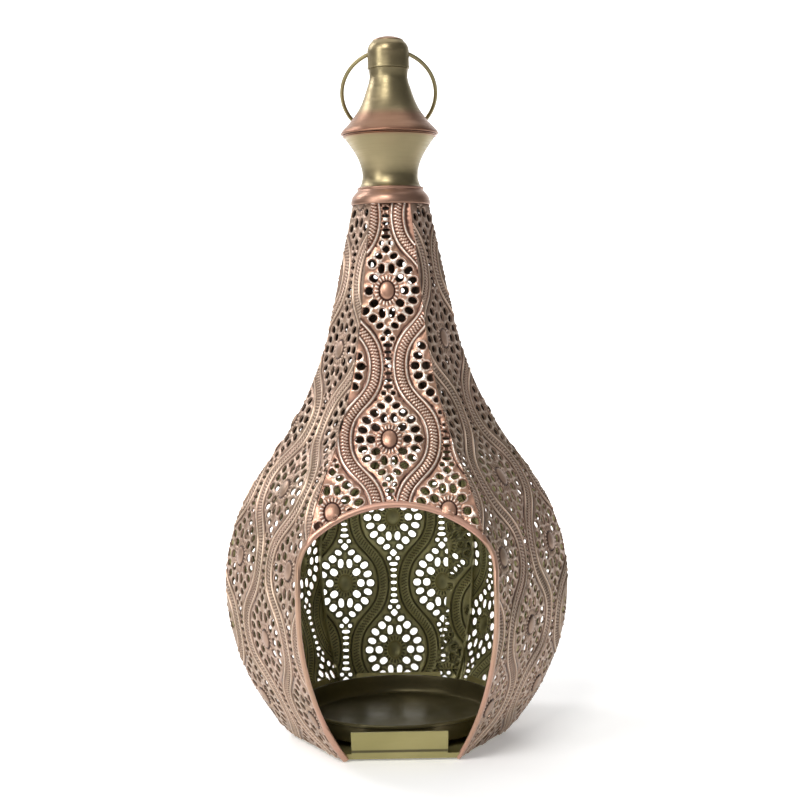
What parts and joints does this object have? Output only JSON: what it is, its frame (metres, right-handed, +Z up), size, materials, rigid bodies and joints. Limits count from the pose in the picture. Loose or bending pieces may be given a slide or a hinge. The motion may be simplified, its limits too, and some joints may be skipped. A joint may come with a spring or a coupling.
{
  "type": "hanging lantern",
  "caption": "Teardrop hanging candle lantern of pierced and embossed sheet panels with an arched doorway, a candle dish on a flanged base, a spun finial and a swinging wire ring.",
  "frame": {"origin": "on the ground under the middle of the lantern", "axes": "+Z up along the tie rod, -Y out of the arched doorway, +X to the right of someone facing the doorway"},
  "size_m": [0.196, 0.1688, 0.3972],
  "materials": {
    "rose_copper_sheet": "embossed and pierced sheet, rose-copper paint rubbed with champagne on the raised lines, olive inside",
    "copper_edging": "smooth satin copper",
    "dark_olive_metal": "dark olive-bronze, satin",
    "brass_base": "khaki-gold, satin",
    "champagne_metal": "champagne gold with copper rubbed edges, satin",
    "rose_collar": "rose-copper, satin",
    "ring_wire_metal": "dull olive gold wire",
    "plain_steel": "zinc plated"
  },
  "bodies": {
    "lantern": {"front_panel": "rose_copper_sheet", "front_left_panel": "rose_copper_sheet", "back_left_panel": "rose_copper_sheet", "back_panel": "rose_copper_sheet", "back_right_panel": "rose_copper_sheet", "front_right_panel": "rose_copper_sheet", "seam_lap": "dark_olive_metal", "arch_edging": "copper_edging", "bottom_hoop": "brass_base", "base_plate": "brass_base", "candle_dish": "dark_olive_metal", "foot_front_right": "brass_base", "foot_back_right": "brass_base", "foot_left": "brass_base", "neck_plate": "plain_steel", "rod_washer": "plain_steel", "bottom_nut": "plain_steel", "top_nut": "plain_steel", "tie_rod": "plain_steel", "neck_collar": "rose_collar", "finial_cup": "champagne_metal", "finial_bell": "champagne_metal", "finial_cap": "champagne_metal"},
    "ring": {"hanging_ring": "ring_wire_metal"}
  },
  "joints": [
    {"name": "ring_swing", "type": "hinge", "parent": "lantern", "child": "ring", "pos_m": [0, 0, 0.38731], "axis": [1, 0, 0], "range_deg": [0, 292]}
  ]
}
